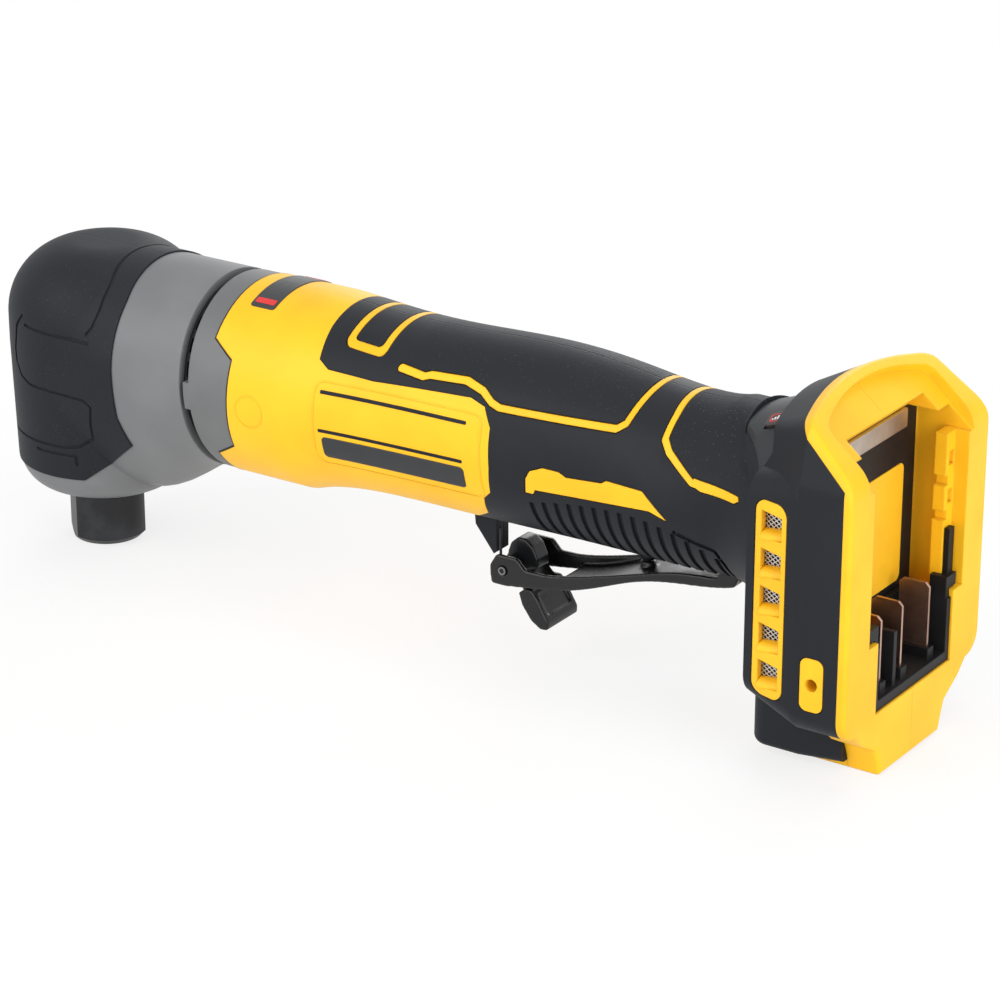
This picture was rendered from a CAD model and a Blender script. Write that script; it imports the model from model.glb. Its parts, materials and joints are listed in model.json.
import json
import math

import bmesh
import bpy
from mathutils import Matrix, Vector
from mathutils.bvhtree import BVHTree


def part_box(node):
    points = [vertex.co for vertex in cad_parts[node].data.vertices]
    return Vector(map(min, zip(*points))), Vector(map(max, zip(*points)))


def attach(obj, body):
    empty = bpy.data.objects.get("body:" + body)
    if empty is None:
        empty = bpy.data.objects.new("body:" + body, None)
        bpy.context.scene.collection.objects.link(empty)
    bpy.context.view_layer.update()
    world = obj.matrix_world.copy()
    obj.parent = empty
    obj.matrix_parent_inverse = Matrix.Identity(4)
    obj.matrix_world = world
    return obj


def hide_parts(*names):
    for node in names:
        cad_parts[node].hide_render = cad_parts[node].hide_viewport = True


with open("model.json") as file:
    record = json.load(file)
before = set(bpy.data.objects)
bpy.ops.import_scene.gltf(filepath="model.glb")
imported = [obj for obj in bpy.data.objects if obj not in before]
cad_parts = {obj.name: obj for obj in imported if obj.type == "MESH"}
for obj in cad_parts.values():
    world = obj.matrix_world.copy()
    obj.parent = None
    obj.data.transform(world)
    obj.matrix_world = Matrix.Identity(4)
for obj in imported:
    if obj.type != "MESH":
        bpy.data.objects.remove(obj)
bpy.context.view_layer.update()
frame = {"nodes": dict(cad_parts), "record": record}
nodes = frame["nodes"]
slot_of = {entry["node"]: entry["material_slot"] for entry in frame["record"]["subparts"]}

# Lengths are in metres, with X along the motor, Z up the spindle and -Y towards the near side

# Motor axis, the round barrel and vent ring on it, and a distance that is well outside the shell
MOTOR_Z = 0.065
BARREL_R = 0.0294
VENT_RING_R = 0.0292
WELL_OUTSIDE = 0.08

# Smooth shading, with the largest angle that is smoothed over and the distance at which points are joined
SMOOTH_ANGLE = math.radians(32)
WELD = 0.00002

# View of the photograph
VIEW_TURN = math.radians(34)
VIEW_TILT = math.radians(22)
VIEW_FROM = Vector((0.6735, -0.7828, 0.4247))
LENS_MM = 129.6
SENSOR_MM = 36.0

# Pale floor, with its share of plain white near the tool and the distances over which that becomes all
FLOOR_HALF = 6.0
FLOOR_Z = -0.0002
FLOOR_GREY = (0.86, 0.86, 0.86)
FLOOR_ROUGH = 0.9
FLOOR_WHITE = 0.76
FLOOR_FADE = (0.35, 1.0)
FLOOR_MIDDLE = (0.13, 0.0, 0.0)

# Light of the room, the white seen behind the tool, and the soft lamps as place, size and watts
ROOM_WHITE = (1.0, 1.0, 1.0)
ROOM_LIGHT = 0.42
ROOM_SEEN = 1.0
LAMP_TARGET = Vector((0.13, 0.0, 0.06))
LAMPS = {
    "key": ((-0.45, -1.05, 0.85), (0.9, 0.9), 9.4),
    "top": ((0.20, 0.15, 1.25), (1.2, 0.8), 4.5),
    "front": ((0.40, -1.45, 0.30), (1.4, 0.6), 7.2),
    "right": ((1.20, -0.30, 0.40), (0.7, 0.9), 9.0),
    "back": ((-0.15, 1.35, 0.60), (1.2, 0.7), 9.0),
}

# Colours
YELLOW = (0.88, 0.485, 0.014)
YELLOW_DEEP = (0.82, 0.425, 0.010)
YELLOW_EDGE = (0.92, 0.545, 0.035)
YELLOW_CREASE = (0.30, 0.120, 0.004)
LABEL_YELLOW = (0.84, 0.46, 0.016)
RUBBER = (0.0108, 0.0124, 0.0160)
RUBBER_WORN = (0.0185, 0.0206, 0.0248)
RUBBER_SPECK = (0.085, 0.088, 0.094)
CASE_GREY = (0.140, 0.144, 0.148)
RING_GREY = (0.121, 0.124, 0.126)
BLACK = (0.0070, 0.0070, 0.0078)
CHARCOAL = (0.016, 0.018, 0.020)
LEVER_BLACK = (0.0052, 0.0058, 0.0066)
PAINT_BLACK = (0.0050, 0.0050, 0.0055)
OXIDE = (0.014, 0.0145, 0.0160)
OXIDE_LIGHT = (0.030, 0.031, 0.034)
STEEL = (0.52, 0.52, 0.53)
STRIKE = (0.56, 0.52, 0.48)
WIRE = (0.62, 0.62, 0.60)
IRON = (0.22, 0.22, 0.23)
COPPER = (0.62, 0.40, 0.31)
KEY_RED = (0.028, 0.016, 0.016)
RED = (0.60, 0.022, 0.020)
WHITE = (0.78, 0.78, 0.76)

# Pebbled parts of the rubber, as where each fades in and out along the tool and where it fades in upwards
TAIL_PEBBLES = ((0.2085, 0.2115), (0.236, 0.244), (0.073, 0.078))
PALM_PEBBLES = ((0.124, 0.128), (0.196, 0.199), (0.0835, 0.0850))
BOOT_PEBBLES_END = (0.030, 0.040)

# Outlines laid on the shell, with the distance between their points and the steps of a corner and a circle
LOOP_STEP = 0.0012
CORNER_STEPS = 6
CIRCLE_STEPS = 48

# Thin plates, with the shares of their lift in the edge and below the shell, and the rings of their face
PLATE_LIFT = 0.00030
PLATE_EDGE = 0.6
PLATE_SUNK = 0.4
PLATE_RINGS = (0.8, 0.6, 0.4, 0.2)

# Blank plate and two trim lines on the near side, as middle, size and corner in side view, and finish
NEAR_PLATES = {
    "data_plate": ((0.1264, 0.0586), (0.0468, 0.0066), 0.0013, "dark_print"),
    "upper_trim": ((0.1262, 0.0749), (0.0480, 0.0010), 0.0003, "rubber"),
    "lower_trim": ((0.1258, 0.0637), (0.0474, 0.0010), 0.0003, "rubber"),
}

# Badge over the top of the barrel, with a bar near each end
BADGE_X = 0.0731
BADGE_WIDTH = 0.0086
BADGE_SWEEP = 2 * math.radians(29) * BARREL_R
BADGE_CORNER = 0.0011
BAR_WIDTH = 0.0068
BAR_SWEEP = 0.0021
BAR_CORNER = 0.0003
BAR_LIFT = 0.0001
BAR_FROM_END = 0.0016

# Moulded ring on the barrel, and the moulded bead round the bare field of the near side
BEAD_LIFT = 0.00012
RING_AT = (0.0790, 0.0649)
RING_R = 0.0050
RING_LINE = 0.0005
FIELD_AT = (0.1279, 0.0654)
FIELD_SIZE = (0.0552, 0.0252)
FIELD_CORNER = 0.0026
FIELD_LINE = 0.00045

# Mark on the button, in the button's own directions: a frame and three bars of rising height
BUTTON_TOP = Vector((0.24107, -0.01280, 0.09231))
BUTTON_OUT = Vector((-0.3149, -0.3567, 0.8795))
BUTTON_ALONG = Vector((0.9415, 0.0, 0.3371))
MARK_SIZE = (0.0032, 0.0032)
MARK_CORNER = 0.0008
MARK_LINE = 0.00030
MARK_LIFT = 0.00006
MARK_BAR_HEIGHTS = (0.0006, 0.0011, 0.0016)
MARK_BAR_WIDTH = 0.0005
MARK_BAR_CORNER = 0.00012
MARK_BAR_PITCH = 0.0008
MARK_BAR_FOOT = -0.0008

# Solids whose edges are softened into rounded ones, with the grain of the new mesh
SOFTENED = {
    "lock_off_lever": ("rounded_lock_off_lever", "lever", "lock_off", 0.00032),
    "paddle_lever": ("rounded_paddle", "paint", "paddle", 0.00042),
}
SOFTENING_ROUNDS = 7
SOFTENING_SHARE = 0.5

# Dark joint between vent ring and barrel, with the corners of the side tongues as turns about the motor
JOINT_X = 0.06337
JOINT_HALF = 0.00026
JOINT_PROUD = 0.00005
JOINT_DEPTH = 0.0003
TONGUE_X = 0.07110
TONGUE_ROOT = math.radians(36.5)
TONGUE_TIP = math.radians(26.2)

# Vent screens, as the half width and half height of one diamond and the share of it that is open
DIAMOND = (0.00078, 0.00064)
DIAMOND_OPEN = 0.72
DIAMOND_WELD = 0.00001

# Rounded louvres on the sills of the vent windows
WINDOWS = 5
WINDOW_X = (0.2504, 0.2572)
WINDOW_SILL_DROP = (0.0006, 0.0)
WINDOW_Z = 0.0304
WINDOW_PITCH = 0.0105
WINDOW_HEIGHT = 0.0072
LOUVRE_RISE = 0.0023
LOUVRE_SET_BACK = 0.00003
LOUVRE_SUNK = 0.0002
LOUVRE_STEPS = 10

# Clamshell screws with their heads on the far side, as place in side view, radius and height of the head
SCREWS = (
    ((0.1190, 0.0872), 0.0019, 0.0015),
    ((0.1190, 0.0480), 0.0030, 0.0024),
    ((0.2060, 0.0710), 0.0030, 0.0024),
    ((0.2430, 0.0450), 0.0030, 0.0024),
)
SCREW_SEAT_Y = 0.0120
SCREW_LENGTH = 0.0240
SCREW_SHANK_R = 0.0019
SCREW_POINT_R = 0.00038
SCREW_POINT_LENGTH = 0.0008
SCREW_SIDES = 36

# Outline of a screw's head and of its hexagon socket, as shares of the head's height and radius
SCREW_HEAD = ((0.0, 1.0), (0.45, 1.0), (0.80, 0.88), (1.0, 0.62))
SCREW_SOCKET = ((1.0, 0.42), (0.35, 0.42))

# Ends of the rolled pin, as shares of its radius
PIN_RIM = (0.96, 0.62)
PIN_EYE = (0.60, 0.30)
PIN_RIM_LIFT = 0.00012
PIN_EYE_LIFT = 0.00003


# Shader expressions

class Value:
    """A socket that takes part in Python arithmetic."""

    def __init__(self, owner, socket):
        self.owner = owner
        self.socket = socket

    def maths(self, operation, *terms):
        return self.owner.node("ShaderNodeMath", {"operation": operation}, dict(enumerate(terms)))

    def __add__(self, other):
        return self.maths("ADD", self, other)

    def __radd__(self, other):
        return self.maths("ADD", other, self)

    def __sub__(self, other):
        return self.maths("SUBTRACT", self, other)

    def __rsub__(self, other):
        return self.maths("SUBTRACT", other, self)

    def __mul__(self, other):
        return self.maths("MULTIPLY", self, other)

    def __rmul__(self, other):
        return self.maths("MULTIPLY", other, self)

    def __abs__(self):
        return self.maths("ABSOLUTE", self)


class NodeTree:
    """The nodes of a material or of the room."""

    def __init__(self, tree):
        self.tree = tree

    def feed(self, socket, value):
        if isinstance(value, Value):
            self.tree.links.new(value.socket, socket)
        else:
            socket.default_value = (*value, 1.0) if socket.type == "RGBA" else value

    def node(self, kind, settings=None, inputs=None, output=0):
        made = self.tree.nodes.new(kind)
        for key, value in (settings or {}).items():
            setattr(made, key, value)
        for key, value in (inputs or {}).items():
            self.feed(made.inputs[key], value)
        return Value(self, made.outputs[output])

    def seen_directly(self):
        """1 where the camera looks, also by way of a mirror or through glass, and 0 for other light."""
        seen = self.node("ShaderNodeLightPath", output="Is Camera Ray")
        for ray in ("Is Glossy Ray", "Is Transmission Ray"):
            seen = seen.maths("MAXIMUM", seen, self.node("ShaderNodeLightPath", output=ray))
        return seen

    def blend_to(self, output, factor, first, second):
        """Shows a blend of two shaders."""
        blend = self.node("ShaderNodeMixShader", None, {0: factor, 1: first, 2: second})
        self.feed(self.tree.nodes[output].inputs["Surface"], blend)


class Finish(NodeTree):
    """One material: its principled shader and the nodes that feed it."""

    def __init__(self, name, **constants):
        self.material = bpy.data.materials.new(name)
        self.material.use_nodes = True
        super().__init__(self.material.node_tree)
        self.shader = self.tree.nodes["Principled BSDF"]
        for socket, value in constants.items():
            self.set(socket.replace("_", " "), value)
        self.place = self.node("ShaderNodeTexCoord", output="Object")

    def set(self, socket, value):
        self.feed(self.shader.inputs[socket], value)

    def along(self, axis):
        return self.node("ShaderNodeSeparateXYZ", None, {0: self.place}, axis)

    def noise(self, scale, detail=2.0, roughness=0.5, place=None):
        inputs = {"Vector": place or self.place, "Scale": scale, "Detail": detail, "Roughness": roughness}
        return self.node("ShaderNodeTexNoise", None, inputs)

    def cells(self, scale):
        return self.node("ShaderNodeTexVoronoi", None, {"Vector": self.place, "Scale": scale})

    def ramp(self, value, low, high):
        """Value from 0 at low to 1 at high, smooth between."""
        inputs = {"Value": value, "From Min": low, "From Max": high}
        return self.node("ShaderNodeMapRange", {"interpolation_type": "SMOOTHSTEP"}, inputs)

    def mix(self, factor, first, second):
        """Colour that goes from the first to the second."""
        inputs = {0: factor, 6: first, 7: second}
        return self.node("ShaderNodeMix", {"data_type": "RGBA"}, inputs, output=2)

    def edges(self, radius):
        """Mask that is 1 along the edges of the solid and 0 on its faces."""
        soft = self.node("ShaderNodeBevel", {"samples": 6}, {"Radius": radius})
        true = self.node("ShaderNodeNewGeometry", output="Normal")
        inputs = {0: soft, 1: true}
        facing = self.node("ShaderNodeVectorMath", {"operation": "DOT_PRODUCT"}, inputs, "Value")
        return self.ramp(1 - facing, low=0.01, high=0.12)

    def wear(self, radius, scale, low, high):
        """Mask of worn patches along the edges."""
        return self.edges(radius) * self.ramp(self.noise(scale, detail=3.0), low, high)

    def creases(self, reach, low, high):
        """Mask that is 1 deep in grooves and joints."""
        open_sky = self.node("ShaderNodeAmbientOcclusion", {"samples": 6}, {"Distance": reach}, "AO")
        return self.ramp(1 - open_sky, low, high)

    def parting_line(self, half_width):
        """Mask along the parting line of the two halves."""
        return 1 - self.ramp(abs(self.along("Y")), half_width * 0.5, half_width)

    def relief(self, height, strength, distance, edge=0.0):
        """Bump from a height, over edges rounded by a small radius."""
        inputs = {"Height": height, "Strength": strength, "Distance": distance}
        if edge:
            inputs["Normal"] = self.node("ShaderNodeBevel", {"samples": 4}, {"Radius": edge})
        self.set("Normal", self.node("ShaderNodeBump", None, inputs))


def scaled(tint, share):
    return tuple(channel * share for channel in tint)


# Finishes

def moulded_yellow():
    finish = Finish("moulded_yellow", Specular_IOR_Level=0.26)
    cloud = finish.noise(scale=34.0, detail=3.0)
    grain = finish.noise(scale=2600.0, roughness=0.6)
    worn = finish.wear(radius=0.0006, scale=420.0, low=0.42, high=0.62)
    shut = finish.creases(reach=0.0010, low=0.42, high=0.80)
    base = finish.mix(finish.ramp(cloud, low=0.35, high=0.7), YELLOW, YELLOW_DEEP)
    base = finish.mix(worn * 0.55, base, YELLOW_EDGE)
    finish.set("Base Color", finish.mix(shut * 0.8, base, YELLOW_CREASE))
    finish.set("Roughness", 0.38 + cloud * 0.10 + grain * 0.06 - worn * 0.06)
    finish.relief(grain, strength=0.16, distance=0.00004, edge=0.0006)
    return finish.material


def overmould_rubber():
    finish = Finish("overmould_rubber", Specular_IOR_Level=0.16)
    x = finish.along("X")
    z = finish.along("Z")

    def zone(start, end, above):
        return finish.ramp(x, *start) * (1 - finish.ramp(x, *end)) * finish.ramp(z, *above)

    on_boot = 1 - finish.ramp(x, *BOOT_PEBBLES_END)
    pebbled = zone(*TAIL_PEBBLES) + zone(*PALM_PEBBLES) * 0.5 + on_boot * 0.4
    cloud = finish.noise(scale=30.0, detail=3.0)
    fine = finish.noise(scale=2200.0, roughness=0.65)
    parting = finish.parting_line(half_width=0.00042)
    height = fine * 0.35 + pebbled * (1 - finish.cells(scale=1500.0)) * 0.8 - parting * 2.0
    dust = finish.ramp(cloud, low=0.45, high=0.75)
    scuffed = finish.wear(radius=0.0006, scale=380.0, low=0.40, high=0.62)
    here_and_there = finish.ramp(finish.noise(scale=700.0, detail=1.0), low=0.50, high=0.60)
    specks = (1 - finish.ramp(finish.cells(scale=1250.0), low=0.10, high=0.22)) * here_and_there * pebbled
    shut = finish.creases(reach=0.0010, low=0.40, high=0.75)
    base = finish.mix(dust * 0.6 + scuffed * 0.4, RUBBER, RUBBER_WORN)
    base = finish.mix(specks, base, RUBBER_SPECK)
    base = finish.mix(parting * 0.8, base, BLACK)
    finish.set("Base Color", finish.mix(shut * 0.85, base, BLACK))
    finish.set("Roughness", 0.46 + cloud * 0.14 + pebbled * 0.10)
    finish.relief(height, strength=0.26, distance=0.00016, edge=0.0006)
    return finish.material


def coated_metal(name, tint, rough):
    finish = Finish(name, Specular_IOR_Level=0.36)
    cloud = finish.noise(scale=46.0, detail=3.0)
    grain = finish.noise(scale=2000.0, roughness=0.6)
    shut = finish.creases(reach=0.0012, low=0.45, high=0.80)
    base = finish.mix(finish.ramp(cloud, low=0.35, high=0.72), tint, scaled(tint, 1.14))
    finish.set("Base Color", finish.mix(shut * 0.8, base, BLACK))
    finish.set("Roughness", rough + cloud * 0.12)
    finish.relief(grain, strength=0.14, distance=0.00012, edge=0.0006)
    return finish.material


def black_moulding(name, tint, rough=0.42, gloss=0.24):
    finish = Finish(name, Specular_IOR_Level=gloss)
    grain = finish.noise(scale=1800.0)
    cloud = finish.noise(scale=60.0)
    finish.set("Base Color", finish.mix(finish.ramp(cloud, low=0.4, high=0.7), tint, scaled(tint, 1.5)))
    finish.set("Roughness", rough + cloud * 0.15)
    finish.relief(grain, strength=0.12, distance=0.0001, edge=0.0004)
    return finish.material


def painted_steel():
    finish = Finish("black_paint", Specular_IOR_Level=0.38)
    cloud = finish.noise(scale=70.0, detail=3.0)
    orange_peel = finish.noise(scale=900.0)
    worn = finish.wear(radius=0.0005, scale=500.0, low=0.45, high=0.65)
    base = finish.mix(finish.ramp(cloud, low=0.4, high=0.7), PAINT_BLACK, BLACK)
    finish.set("Base Color", finish.mix(worn * 0.5, base, OXIDE_LIGHT))
    finish.set("Roughness", 0.20 + cloud * 0.12)
    finish.relief(orange_peel, strength=0.08, distance=0.0001, edge=0.0006)
    return finish.material


def black_oxide():
    finish = Finish("black_oxide", Specular_IOR_Level=0.5, Metallic=0.55)
    cloud = finish.noise(scale=120.0, detail=4.0)
    grain = finish.noise(scale=3200.0)
    finish.set("Base Color", finish.mix(finish.ramp(cloud, low=0.4, high=0.75), OXIDE, OXIDE_LIGHT))
    finish.set("Roughness", 0.34 + cloud * 0.2)
    finish.relief(grain, strength=0.1, distance=0.00008, edge=0.0005)
    return finish.material


def bare_steel(name, tint, rough):
    finish = Finish(name, Metallic=1.0)
    stretched = finish.node("ShaderNodeMapping", None, {"Vector": finish.place, "Scale": (1.0, 1.0, 0.04)})
    lines = finish.noise(scale=5200.0, place=stretched)
    cloud = finish.noise(scale=150.0, detail=3.0)
    finish.set("Base Color", finish.mix(finish.ramp(cloud, low=0.3, high=0.75), tint, scaled(tint, 0.78)))
    finish.set("Roughness", rough + lines * 0.14)
    finish.relief(lines, strength=0.06, distance=0.00004, edge=0.0002)
    return finish.material


def plain_print(name, tint, rough=0.42):
    finish = Finish(name, Specular_IOR_Level=0.45)
    cloud = finish.noise(scale=120.0, detail=3.0)
    finish.set("Base Color", finish.mix(finish.ramp(cloud, low=0.35, high=0.75), tint, scaled(tint, 0.94)))
    finish.set("Roughness", rough + cloud * 0.08)
    finish.relief(finish.noise(scale=2600.0), strength=0.08, distance=0.00006)
    return finish.material


FINISHES = {
    "yellow": moulded_yellow(),
    "rubber": overmould_rubber(),
    "case": coated_metal("case_coat", CASE_GREY, rough=0.40),
    "ring": coated_metal("vent_ring_grey", RING_GREY, rough=0.44),
    "black": black_moulding("black_moulding", BLACK),
    "charcoal": black_moulding("charcoal_moulding", CHARCOAL),
    "lever": black_moulding("lever_moulding", LEVER_BLACK, rough=0.20, gloss=0.34),
    "paint": painted_steel(),
    "oxide": black_oxide(),
    "steel": bare_steel("ground_steel", STEEL, rough=0.24),
    "strike": bare_steel("latch_steel", STRIKE, rough=0.34),
    "mesh": bare_steel("screen_wire", WIRE, rough=0.34),
    "copper": bare_steel("tinned_copper", COPPER, rough=0.28),
    "iron": bare_steel("stacked_iron", IRON, rough=0.42),
    "film": plain_print("label_film", LABEL_YELLOW),
    "dark_print": plain_print("dark_print", CHARCOAL),
    "red_print": plain_print("red_print", RED),
    "white_print": plain_print("white_print", WHITE),
    "key": plain_print("key_plastic", KEY_RED, rough=0.36),
}

# Finish of each material slot, and of the solids that differ from their slot's
SLOT_FINISH = {
    "yellow_shell": "yellow",
    "grip_rubber": "rubber",
    "gear_case_metal": "case",
    "grey_plastic": "ring",
    "black_plastic": "black",
    "bearing_steel": "steel",
    "black_steel": "oxide",
    "spring_steel": "steel",
    "lamination_steel": "iron",
    "copper": "copper",
    "label_film": "film",
    "button_red": "key",
}
NODE_FINISH = {
    "latch_strike": "strike",
    "button_panel": "charcoal",
    "lock_off_pin": "oxide",
    "paddle_hinge_pin": "oxide",
    "lock_off_spring": "oxide",
}


# Smooth shading of the solids, kept sharp at their real edges

def smoothing_group():
    group = bpy.data.node_groups.new("smooth_by_angle", "GeometryNodeTree")
    group.interface.new_socket("Geometry", in_out="INPUT", socket_type="NodeSocketGeometry")
    group.interface.new_socket("Geometry", in_out="OUTPUT", socket_type="NodeSocketGeometry")
    add = group.nodes.new
    link = group.links.new
    start = add("NodeGroupInput")
    end = add("NodeGroupOutput")
    weld = add("GeometryNodeMergeByDistance")
    weld.inputs["Distance"].default_value = WELD
    angle = add("GeometryNodeInputMeshEdgeAngle")
    gentle = add("FunctionNodeCompare")
    gentle.data_type = "FLOAT"
    gentle.operation = "LESS_THAN"
    gentle.inputs[1].default_value = SMOOTH_ANGLE
    faces = add("GeometryNodeSetShadeSmooth")
    edges = add("GeometryNodeSetShadeSmooth")
    edges.domain = "EDGE"
    link(start.outputs[0], weld.inputs["Geometry"])
    link(weld.outputs[0], faces.inputs["Geometry"])
    link(faces.outputs[0], edges.inputs["Geometry"])
    link(angle.outputs["Unsigned Angle"], gentle.inputs[0])
    link(gentle.outputs[0], edges.inputs["Shade Smooth"])
    link(edges.outputs[0], end.inputs[0])
    return group


SMOOTHING = smoothing_group()


def smooth(obj):
    obj.modifiers.new("smooth", "NODES").node_group = SMOOTHING


for name, obj in nodes.items():
    finish_name = NODE_FINISH.get(name, SLOT_FINISH[slot_of[name]])
    obj.data.materials.clear()
    obj.data.materials.append(FINISHES[finish_name])
    smooth(obj)


# Places on the shell, the button and the barrel, each with a lift off the surface

def search_tree(*names):
    """Search tree over the faces of some solids."""
    points = []
    faces = []
    for name in names:
        mesh = nodes[name].data
        base = len(points)
        points.extend(vertex.co.copy() for vertex in mesh.vertices)
        faces.extend([base + i for i in polygon.vertices] for polygon in mesh.polygons)
    return BVHTree.FromPolygons(points, faces)


SHELL = search_tree("left_housing", "right_housing", "left_grip", "right_grip")


def on_near_side(x, z, lift):
    """Place on the shell, seen square from the near side."""
    inwards = Vector((0, 1, 0))
    hit = SHELL.ray_cast(Vector((x, -WELL_OUTSIDE, z)), inwards)[0]
    return hit - inwards * lift


def on_barrel_top(x, arc, lift):
    """Place on the shell at an arc from the barrel's top line, towards the near side for negative ones."""
    turn = arc / BARREL_R
    outwards = Vector((0, math.sin(turn), math.cos(turn)))
    hit = SHELL.ray_cast(Vector((x, 0, MOTOR_Z)) + outwards * WELL_OUTSIDE, -outwards)[0]
    return hit + outwards * lift


def on_round_barrel(x, arc, lift):
    """Place on the barrel's cylinder at an arc from its near side."""
    turn = arc / BARREL_R
    reach = BARREL_R + lift
    return Vector((x, -reach * math.cos(turn), MOTOR_Z + reach * math.sin(turn)))


def on_button(along, aside, lift):
    return BUTTON_TOP + BUTTON_ALONG * along + BUTTON_OUT.cross(BUTTON_ALONG) * aside + BUTTON_OUT * lift


# Outlines of pieces that follow a surface

def along_run(start, end, count):
    """Points that divide a straight run, with its start and without its end."""
    shares = [step / count for step in range(count)]
    return [tuple(a + (b - a) * share for a, b in zip(start, end)) for share in shares]


def spaced_run(corners):
    """Points along a run of corners, without its last corner."""
    points = []
    for start, end in zip(corners, corners[1:]):
        points += along_run(start, end, max(1, math.ceil(math.dist(start, end) / LOOP_STEP)))
    return points


def moved_aside(run, distance):
    moved = []
    for i, (u, v) in enumerate(run):
        before = Vector(run[max(i - 1, 0)])
        after = Vector(run[min(i + 1, len(run) - 1)])
        along = (after - before).normalized()
        moved.append((u + along.y * distance, v - along.x * distance))
    return moved


def rounded_loop(size, radius, drawn_in=0.0):
    """Points round a rounded rectangle about the origin, its sides drawn in by some distance."""
    reach_u, reach_v = size[0] / 2 - radius, size[1] / 2 - radius
    counts = [max(1, round(2 * reach / LOOP_STEP)) for reach in (reach_u, reach_v)]
    half_u, half_v = reach_u - drawn_in, reach_v - drawn_in
    corners = ((half_u, half_v), (-half_u, half_v), (-half_u, -half_v), (half_u, -half_v))
    loop = []
    for quarter, (middle_u, middle_v) in enumerate(corners):
        for step in range(CORNER_STEPS + 1):
            turn = math.pi / 2 * (quarter + step / CORNER_STEPS)
            loop.append((middle_u + radius * math.cos(turn), middle_v + radius * math.sin(turn)))
        next_u, next_v = corners[(quarter + 1) % 4]
        end = (next_u + radius * math.cos(turn), next_v + radius * math.sin(turn))
        loop += along_run(loop[-1], end, counts[quarter % 2])[1:]
    return loop


def circle_loop(radius, steps=CIRCLE_STEPS):
    turns = [2 * math.pi * step / steps for step in range(steps)]
    return [(radius * math.cos(turn), radius * math.sin(turn)) for turn in turns]


def hexagon_loop(radius, steps):
    """Points round a hexagon, given the radius of its corners."""
    loop = []
    for u, v in circle_loop(radius, steps):
        from_flat = math.atan2(v, u) % (math.pi / 3) - math.pi / 6
        share = math.cos(math.pi / 6) / math.cos(from_flat)
        loop.append((u * share, v * share))
    return loop


def shrunk(loop, share_u, share_v):
    return [(u * share_u, v * share_v) for u, v in loop]


def plate_loops(size, radius, lift):
    """Loops of a thin plate with a rounded edge, each with its lift."""
    edge = lift * PLATE_EDGE
    outer = rounded_loop(size, radius)
    inner = rounded_loop(size, radius, drawn_in=edge)
    rows = [(outer, -PLATE_SUNK * lift), (outer, lift - edge), (inner, lift)]
    return rows + [(shrunk(inner, share, share), lift) for share in PLATE_RINGS]


def line_loops(outer, inner, lift):
    """Loops of a raised line between two outlines, each with its lift."""
    return [(outer, -PLATE_SUNK * lift), (outer, lift), (inner, lift), (inner, -PLATE_SUNK * lift)]


def framed_loops(size, radius, line, lift):
    """Loops of a raised line round a rounded rectangle, each with its lift."""
    outer = rounded_loop(size, radius)
    inner = shrunk(outer, 1 - 2 * line / size[0], 1 - 2 * line / size[1])
    return line_loops(outer, inner, lift)


# Meshes that ride on a body

def bridge(made, loops, close):
    """Rows of points with faces between them, the last row closed by a fan if asked."""
    rows = [[made.verts.new(point) for point in loop] for loop in loops]
    for row, following in zip(rows, rows[1:]):
        for i in range(len(row)):
            j = (i + 1) % len(row)
            made.faces.new((row[i], row[j], following[j], following[i]))
    if close:
        last = rows[-1]
        middle = made.verts.new(sum((vert.co for vert in last), Vector()) / len(last))
        for i in range(len(last)):
            made.faces.new((last[i], last[(i + 1) % len(last)], middle))
    return rows


def lay(made, rows, place, close=True):
    """Faces over loops of points, each loop with its lift, laid on a surface."""
    return bridge(made, [[place(u, v, lift) for u, v in loop] for loop, lift in rows], close)


def add_mesh(name, made, finish, body):
    bmesh.ops.recalc_face_normals(made, faces=made.faces)
    mesh = bpy.data.meshes.new(name)
    made.to_mesh(mesh)
    made.free()
    obj = bpy.data.objects.new(name, mesh)
    bpy.context.scene.collection.objects.link(obj)
    mesh.materials.append(FINISHES[finish])
    smooth(obj)
    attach(obj, body)
    return obj


def add_piece(name, rows, place, finish, body, close=True):
    """New mesh laid on a surface."""
    made = bmesh.new()
    lay(made, rows, place, close)
    add_mesh(name, made, finish, body)


# Pieces

def near_side_plates():
    for name, ((x, z), size, radius, finish) in NEAR_PLATES.items():
        add_piece(
            name, plate_loops(size, radius, PLATE_LIFT),
            lambda u, v, lift: on_near_side(x + u, z + v, lift), finish, "housing",
        )


def top_badge():
    add_piece(
        "top_badge", plate_loops((BADGE_WIDTH, BADGE_SWEEP), BADGE_CORNER, PLATE_LIFT),
        lambda u, v, lift: on_barrel_top(BADGE_X + u, v, lift), "dark_print", "housing",
    )
    for side, name in ((-1, "badge_bar_near"), (1, "badge_bar_far")):
        middle = side * (BADGE_SWEEP / 2 - BAR_FROM_END - BAR_SWEEP / 2)
        add_piece(
            name, plate_loops((BAR_WIDTH, BAR_SWEEP), BAR_CORNER, BAR_LIFT),
            lambda u, v, lift: on_barrel_top(BADGE_X + u, middle + v, lift + PLATE_LIFT),
            "red_print", "housing",
        )


def moulded_beads():
    """Ring on the barrel, and the bead round the bare field."""
    ring = line_loops(circle_loop(RING_R), circle_loop(RING_R - RING_LINE), BEAD_LIFT)
    field = framed_loops(FIELD_SIZE, FIELD_CORNER, FIELD_LINE, BEAD_LIFT)
    for name, rows, (x, z) in (("moulded_ring", ring, RING_AT), ("field_bead", field, FIELD_AT)):
        add_piece(
            name, rows, lambda u, v, lift: on_near_side(x + u, z + v, lift),
            "yellow", "housing", close=False,
        )


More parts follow.
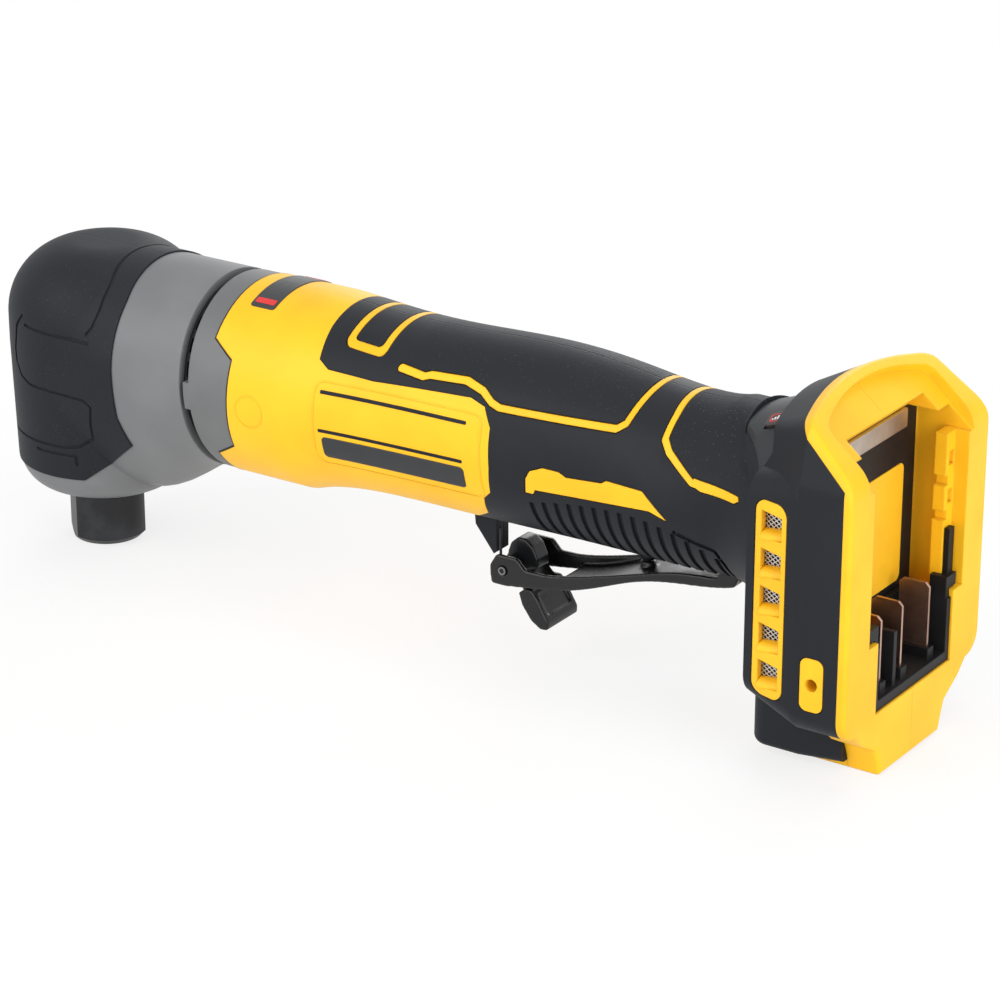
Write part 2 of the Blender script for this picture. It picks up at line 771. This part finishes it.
def button_mark():
    rows = framed_loops(MARK_SIZE, MARK_CORNER, MARK_LINE, MARK_LIFT)
    add_piece("mark_frame", rows, on_button, "red_print", "button", close=False)
    for step, height in enumerate(MARK_BAR_HEIGHTS):
        along = (step - 1) * MARK_BAR_PITCH
        aside = MARK_BAR_FOOT + height / 2
        add_piece(
            f"mark_bar_{step}", plate_loops((MARK_BAR_WIDTH, height), MARK_BAR_CORNER, MARK_LIFT),
            lambda u, v, lift: on_button(along + u, aside + v, lift),
            "white_print", "button",
        )


def softened_levers():
    """Paddle and lock-off lever with the rounded edges of pressed and moulded pieces."""
    for node, (name, finish, body, grain) in SOFTENED.items():
        mesh = nodes[node].data.copy()
        mesh.name = name
        mesh.materials.clear()
        mesh.materials.append(FINISHES[finish])
        lever = bpy.data.objects.new(name, mesh)
        bpy.context.scene.collection.objects.link(lever)
        remesh = lever.modifiers.new("even_grain", "REMESH")
        remesh.mode = "VOXEL"
        remesh.voxel_size = grain
        remesh.use_smooth_shade = True
        relax = lever.modifiers.new("soft_edges", "SMOOTH")
        relax.factor = SOFTENING_SHARE
        relax.iterations = SOFTENING_ROUNDS
        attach(lever, body)
        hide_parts(node)


def vent_joint():
    """Thin dark line in the joint between the grey ring with its two tongues and the yellow shell."""
    corners = [(JOINT_X, -math.pi / 2)]
    for middle in (0, math.pi):
        corners += [
            (JOINT_X, middle - TONGUE_ROOT),
            (TONGUE_X, middle - TONGUE_TIP),
            (TONGUE_X, middle + TONGUE_TIP),
            (JOINT_X, middle + TONGUE_ROOT),
            (JOINT_X, middle + math.pi / 2),
        ]
    run = spaced_run([(x, turn * BARREL_R) for x, turn in corners])
    shell_side = moved_aside(run, JOINT_HALF)
    ring_side = moved_aside(run, -JOINT_HALF)
    step_down = VENT_RING_R - BARREL_R
    rows = [
        (shell_side, -JOINT_DEPTH),
        (shell_side, JOINT_PROUD),
        (ring_side, step_down + JOINT_PROUD),
        (ring_side, step_down - JOINT_DEPTH),
    ]
    add_piece("vent_joint", rows, on_round_barrel, "black", "housing", close=False)


def diamond_rows(near_y, far_y):
    """Loops of one diamond of a screen: both faces round its opening, and the opening's walls."""
    outer = [(DIAMOND[0], 0), (0, DIAMOND[1]), (-DIAMOND[0], 0), (0, -DIAMOND[1])]
    opening = shrunk(outer, DIAMOND_OPEN, DIAMOND_OPEN)
    return [(outer, near_y), (opening, near_y), (opening, far_y), (outer, far_y)]


def vent_screens():
    """Expanded metal of small diamonds in place of each plain screen."""
    half_x, half_z = DIAMOND
    for side in ("left", "right"):
        node = f"{side}_vent_mesh"
        low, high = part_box(node)
        diamond = diamond_rows(low.y, high.y)
        columns = int((high.x - low.x) / half_x) - 1
        rows = int((high.z - low.z) / half_z) - 1
        made = bmesh.new()
        for column in range(1, columns + 1):
            for row in range(1, rows + 1):
                if (column + row) % 2 == 0:
                    x = low.x + column * half_x
                    z = low.z + row * half_z
                    lay(made, diamond, lambda u, v, y: Vector((x + u, y, z + v)), close=False)
        bmesh.ops.remove_doubles(made, verts=made.verts, dist=DIAMOND_WELD)
        screen = add_mesh(f"{side}_vent_screen", made, "mesh", "housing")
        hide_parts(node)


def louvre_outline(sill, face_y, screen_y):
    """Section of one louvre, from under the sill up a round nose to the screen."""
    points = [(screen_y, sill - LOUVRE_SUNK), (face_y, sill - LOUVRE_SUNK)]
    for step in range(LOUVRE_STEPS + 1):
        turn = math.pi / 2 * step / LOUVRE_STEPS
        back = (face_y - screen_y) * (1 - math.cos(turn))
        points.append((face_y - back, sill + LOUVRE_RISE * math.sin(turn)))
    return points


def vent_louvres():
    """Rounded ramp on the sill of each vent window, from the strip's face back to the screen."""
    between_windows = on_near_side(sum(WINDOW_X) / 2, WINDOW_Z + WINDOW_PITCH / 2, -LOUVRE_SET_BACK)
    face_y = -between_windows.y
    screen_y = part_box("right_vent_mesh")[1].y
    for side, name in ((-1, "near_vent_louvres"), (1, "far_vent_louvres")):
        made = bmesh.new()
        for window in range(WINDOWS):
            low_edge = WINDOW_Z + window * WINDOW_PITCH - WINDOW_HEIGHT / 2
            ends = []
            for x, drop in zip(WINDOW_X, WINDOW_SILL_DROP):
                ends.append((louvre_outline(low_edge - drop, face_y, screen_y), x))
            for end in lay(made, ends, lambda y, z, x: Vector((x, side * y, z)), close=False):
                made.faces.new(end)
        add_mesh(name, made, "yellow", "housing")


def screw_rows(head_r, head_h):
    """Loops of a screw from its point to the floor of its socket, each with its height over the seat."""
    outline = [
        (-SCREW_LENGTH, SCREW_POINT_R),
        (SCREW_POINT_LENGTH - SCREW_LENGTH, SCREW_SHANK_R),
        (0.0, SCREW_SHANK_R),
    ]
    outline += [(head_h * height, head_r * radius) for height, radius in SCREW_HEAD]
    rows = [(circle_loop(radius, SCREW_SIDES), height) for height, radius in outline]
    return rows + [(hexagon_loop(head_r * r, SCREW_SIDES), head_h * height) for height, r in SCREW_SOCKET]


def clamshell_screws():
    """Four screws, the head of the top one small enough to lie under the shell."""
    made = bmesh.new()
    for (x, z), head_r, head_h in SCREWS:
        rows = screw_rows(head_r, head_h)
        lay(made, rows, lambda u, v, height: Vector((x + u, SCREW_SEAT_Y + height, z + v)))
    screws = add_mesh("clamshell_screws", made, "oxide", "housing")
    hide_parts("housing_screws")


def rolled_pin_ends():
    """Rim and hollow of the rolled pin in each ear of the paddle."""
    low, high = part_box("lock_off_pin")
    middle = (low + high) / 2
    radius = (high.z - low.z) / 2
    rim = line_loops(*[circle_loop(radius * share) for share in PIN_RIM], PIN_RIM_LIFT)
    eye = [(circle_loop(radius * share), PIN_EYE_LIFT) for share in PIN_EYE]
    for side, end_y, out in (("near", low.y, -1), ("far", high.y, 1)):
        def on_end(u, v, lift):
            return Vector((middle.x + u, end_y + out * lift, middle.z + v))

        add_piece(f"pin_rim_{side}", rim, on_end, "iron", "paddle", close=False)
        add_piece(f"pin_eye_{side}", eye, on_end, "black", "paddle")


near_side_plates()
top_badge()
moulded_beads()
button_mark()
softened_levers()
vent_joint()
vent_screens()
vent_louvres()
clamshell_screws()
rolled_pin_ends()


# Camera, floor and light

def camera_at_photo():
    data = bpy.data.cameras.new("camera")
    data.lens = LENS_MM
    data.sensor_width = SENSOR_MM
    obj = bpy.data.objects.new("camera", data)
    bpy.context.scene.collection.objects.link(obj)
    right = Vector((math.cos(VIEW_TURN), math.sin(VIEW_TURN), 0))
    back = Vector((
        math.sin(VIEW_TURN) * math.cos(VIEW_TILT),
        -math.cos(VIEW_TURN) * math.cos(VIEW_TILT),
        math.sin(VIEW_TILT),
    ))
    up = back.cross(right)
    turn = Matrix((right, up, back)).transposed()
    obj.matrix_world = Matrix.Translation(VIEW_FROM) @ turn.to_4x4()
    bpy.context.scene.camera = obj


def studio_floor():
    mesh = bpy.data.meshes.new("floor")
    corners = ((-1, -1), (1, -1), (1, 1), (-1, 1))
    mesh.from_pydata([(u * FLOOR_HALF, v * FLOOR_HALF, FLOOR_Z) for u, v in corners], [], [(0, 1, 2, 3)])
    floor = bpy.data.objects.new("floor", mesh)
    bpy.context.scene.collection.objects.link(floor)
    finish = Finish("pale_floor", Base_Color=FLOOR_GREY, Roughness=FLOOR_ROUGH)
    apart = finish.node(
        "ShaderNodeVectorMath", {"operation": "DISTANCE"}, {0: finish.place, 1: FLOOR_MIDDLE}, "Value",
    )
    white = FLOOR_WHITE + finish.ramp(apart, *FLOOR_FADE) * (1 - FLOOR_WHITE)
    painted = Value(finish, finish.shader.outputs[0])
    glow = finish.node("ShaderNodeEmission")
    finish.blend_to("Material Output", finish.seen_directly() * white, painted, glow)
    mesh.materials.append(finish.material)


def soft_lamp(name, place, size, watts):
    data = bpy.data.lights.new(name, "AREA")
    data.shape = "RECTANGLE"
    data.size, data.size_y = size
    data.energy = watts
    obj = bpy.data.objects.new(name, data)
    bpy.context.scene.collection.objects.link(obj)
    obj.location = place
    obj.rotation_mode = "QUATERNION"
    obj.rotation_quaternion = (LAMP_TARGET - Vector(place)).to_track_quat("-Z", "Y")


def studio_light():
    world = bpy.data.worlds.new("studio")
    bpy.context.scene.world = world
    world.use_nodes = True
    room = NodeTree(world.node_tree)
    light = world.node_tree.nodes["Background"]
    room.feed(light.inputs["Color"], ROOM_WHITE)
    room.feed(light.inputs["Strength"], ROOM_LIGHT)
    white = room.node("ShaderNodeBackground", None, {"Color": ROOM_WHITE, "Strength": ROOM_SEEN})
    room.blend_to("World Output", room.seen_directly(), Value(room, light.outputs[0]), white)
    for name, (place, size, watts) in LAMPS.items():
        soft_lamp(name, place, size, watts)


camera_at_photo()
studio_floor()
studio_light()
bpy.context.scene.view_settings.view_transform = "Standard"
